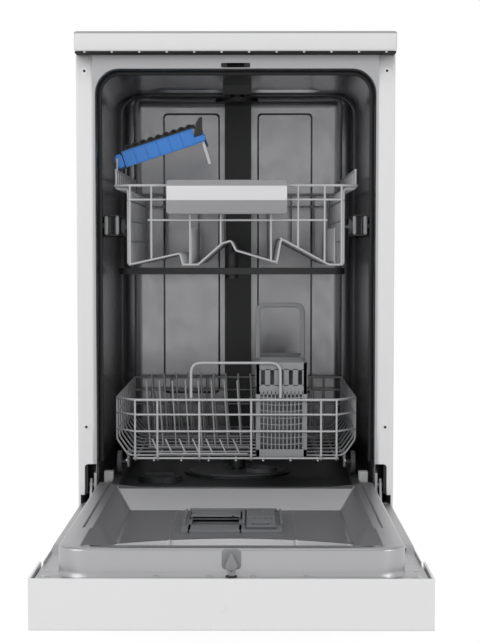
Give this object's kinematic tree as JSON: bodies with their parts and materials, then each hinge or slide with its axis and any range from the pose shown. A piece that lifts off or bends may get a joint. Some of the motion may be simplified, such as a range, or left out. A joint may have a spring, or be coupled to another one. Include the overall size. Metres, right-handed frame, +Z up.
{
  "type": "freestanding dishwasher",
  "caption": "Slimline freestanding dishwasher with a drop-down door, two sliding wire baskets, a cutlery basket, a folding cup shelf and turning spray arms.",
  "frame": {"origin": "on the floor, under the middle of the machine with its door open", "axes": "+X to the right seen from the front, +Y from the open door to the back, +Z up"},
  "size_m": [0.448, 1.122, 0.845],
  "materials": {
    "worktop_laminate": "satin laminate on board",
    "white_enamel": "smooth white paint",
    "zinc_sheet": "galvanised",
    "tub_steel": "polished stainless",
    "frame_steel": "fine brushed stainless",
    "liner_steel": "fine brushed stainless",
    "black_rubber": "matte",
    "black_plastic": "moulded",
    "dark_grey_plastic": "moulded",
    "grey_plastic": "moulded",
    "pale_plastic": "moulded",
    "white_plastic": "smooth moulded",
    "display_black": "clear black",
    "coated_wire": "grey nylon coat",
    "blue_plastic": "moulded",
    "hinge_steel": "stamped",
    "screw_steel": "plated"
  },
  "bodies": {
    "cabinet": {"worktop": "worktop_laminate", "side_panel_left": "white_enamel", "side_panel_right": "white_enamel", "rear_panel": "zinc_sheet", "base_tray": "black_plastic", "kick_plate": "white_enamel", "levelling_feet": "black_plastic", "tub_wrapper": "tub_steel", "tub_back": "tub_steel", "tub_floor": "dark_grey_plastic", "front_frame": "frame_steel", "tub_gasket": "black_rubber", "door_latch": "black_plastic", "rear_duct": "dark_grey_plastic", "top_sprinkler": "black_plastic", "lower_tracks": "dark_grey_plastic", "track_end_blocks": "pale_plastic", "sump": "dark_grey_plastic", "sump_filter": "grey_plastic", "salt_cap": "dark_grey_plastic", "circulation_pump": "black_plastic", "drain_pump": "black_plastic", "water_softener": "pale_plastic", "inlet_valve": "black_plastic", "hinge_brackets": "hinge_steel", "hinge_covers": "black_plastic", "cabinet_screws": "screw_steel", "cable_gland": "black_plastic"},
    "door": {"door_liner": "liner_steel", "outer_panel": "white_enamel", "control_panel": "white_plastic", "display_window": "display_black", "dispenser_body": "grey_plastic", "door_strike": "hinge_steel", "hinge_arms": "hinge_steel", "door_screws": "screw_steel"},
    "upper_basket": {"upper_basket_floor": "coated_wire", "upper_basket_walls": "coated_wire", "upper_basket_tines": "coated_wire", "upper_basket_handle": "pale_plastic", "spray_feed_pipe": "dark_grey_plastic"},
    "lower_basket": {"lower_basket_floor": "coated_wire", "lower_basket_walls": "coated_wire", "lower_basket_tines": "coated_wire", "lower_basket_handle": "coated_wire"},
    "dispenser_lid": {"dispenser_lid": "grey_plastic"},
    "rinse_aid_flap": {"rinse_aid_flap": "grey_plastic"},
    "power_button": {"power_button": "white_plastic"},
    "program_button": {"program_button": "white_plastic"},
    "upper_rails": {"upper_rails": "frame_steel"},
    "tub_rollers_front": {"tub_rollers_front": "grey_plastic"},
    "tub_rollers_rear": {"tub_rollers_rear": "grey_plastic"},
    "basket_rollers_front": {"basket_rollers_front": "grey_plastic"},
    "basket_rollers_rear": {"basket_rollers_rear": "grey_plastic"},
    "cup_shelf": {"cup_shelf": "blue_plastic"},
    "upper_spray_arm": {"upper_spray_arm": "dark_grey_plastic"},
    "lower_wheels_front": {"lower_wheels_front": "grey_plastic"},
    "lower_wheels_rear": {"lower_wheels_rear": "grey_plastic"},
    "lower_spray_arm": {"lower_spray_arm": "dark_grey_plastic"},
    "cutlery_basket": {"cutlery_basket": "grey_plastic"}
  },
  "joints": [
    {"name": "door_hinge", "type": "hinge", "parent": "cabinet", "child": "door", "pos_m": [0, 0.042, 0.207], "axis": [-1, 0, 0], "range_deg": [0, 90]},
    {"name": "upper_basket_slide", "type": "slide", "parent": "cabinet", "child": "upper_basket", "axis": [0, 1, 0], "range_m": [-0.39, 0]},
    {"name": "upper_rails_slide", "type": "slide", "parent": "cabinet", "child": "upper_rails", "axis": [0, 1, 0], "range_m": [-0.196, 0]},
    {"name": "lower_basket_slide", "type": "slide", "parent": "cabinet", "child": "lower_basket", "axis": [0, 1, 0], "range_m": [-0.4, 0]},
    {"name": "cutlery_basket_lift", "type": "slide", "parent": "lower_basket", "child": "cutlery_basket", "axis": [0, 0, 1], "range_m": [0, 0.03]},
    {"name": "cup_shelf_fold", "type": "hinge", "parent": "upper_basket", "child": "cup_shelf", "pos_m": [-0.1707, 0.166, 0.672], "axis": [0, -1, 0], "range_deg": [-18, 25]},
    {"name": "upper_spray_turn", "type": "hinge", "parent": "upper_basket", "child": "upper_spray_arm", "pos_m": [-0.008, 0.27, 0.51], "axis": [0, 0, 1], "continuous": true},
    {"name": "lower_spray_turn", "type": "hinge", "parent": "cabinet", "child": "lower_spray_arm", "pos_m": [0, 0.27, 0.228], "axis": [0, 0, 1], "continuous": true},
    {"name": "dispenser_lid_slide", "type": "slide", "parent": "door", "child": "dispenser_lid", "axis": [0, 1, 0], "range_m": [-0.05, 0]},
    {"name": "rinse_aid_flap_hinge", "type": "hinge", "parent": "door", "child": "rinse_aid_flap", "pos_m": [0.035, -0.145, 0.1886], "axis": [1, 0, 0], "range_deg": [-75, 0]},
    {"name": "power_button_press", "type": "slide", "parent": "door", "child": "power_button", "axis": [0, 0, 1], "range_m": [0, 0.0015], "stiffness_N_per_m": 600, "springref_m": -0.001},
    {"name": "program_button_press", "type": "slide", "parent": "door", "child": "program_button", "axis": [0, 0, 1], "range_m": [0, 0.0015], "stiffness_N_per_m": 600, "springref_m": -0.001},
    {"name": "tub_roller_front_turn", "type": "hinge", "parent": "cabinet", "child": "tub_rollers_front", "pos_m": [0, 0.08, 0.578], "axis": [1, 0, 0], "range_deg": [0, 860]},
    {"name": "tub_roller_rear_turn", "type": "hinge", "parent": "cabinet", "child": "tub_rollers_rear", "pos_m": [0, 0.15, 0.578], "axis": [1, 0, 0], "range_deg": [0, 860]},
    {"name": "basket_roller_front_turn", "type": "hinge", "parent": "upper_basket", "child": "basket_rollers_front", "pos_m": [0, 0.26, 0.578], "axis": [1, 0, 0], "range_deg": [0, 860]},
    {"name": "basket_roller_rear_turn", "type": "hinge", "parent": "upper_basket", "child": "basket_rollers_rear", "pos_m": [0, 0.45, 0.578], "axis": [1, 0, 0], "range_deg": [0, 860]},
    {"name": "lower_wheel_front_turn", "type": "hinge", "parent": "lower_basket", "child": "lower_wheels_front", "pos_m": [0, 0.135, 0.2286], "axis": [1, 0, 0], "range_deg": [0, 1349]},
    {"name": "lower_wheel_rear_turn", "type": "hinge", "parent": "lower_basket", "child": "lower_wheels_rear", "pos_m": [0, 0.43, 0.2286], "axis": [1, 0, 0], "range_deg": [0, 1349]}
  ],
  "couplings": [
    {"joint": "upper_rails_slide", "follows": "upper_basket_slide", "ratio": 0.5},
    {"joint": "tub_roller_front_turn", "follows": "upper_basket_slide", "rad_per_m": -38.462},
    {"joint": "tub_roller_rear_turn", "follows": "upper_basket_slide", "rad_per_m": -38.462},
    {"joint": "basket_roller_front_turn", "follows": "upper_basket_slide", "rad_per_m": -38.462},
    {"joint": "basket_roller_rear_turn", "follows": "upper_basket_slide", "rad_per_m": -38.462},
    {"joint": "lower_wheel_front_turn", "follows": "lower_basket_slide", "rad_per_m": -58.824},
    {"joint": "lower_wheel_rear_turn", "follows": "lower_basket_slide", "rad_per_m": -58.824}
  ]
}
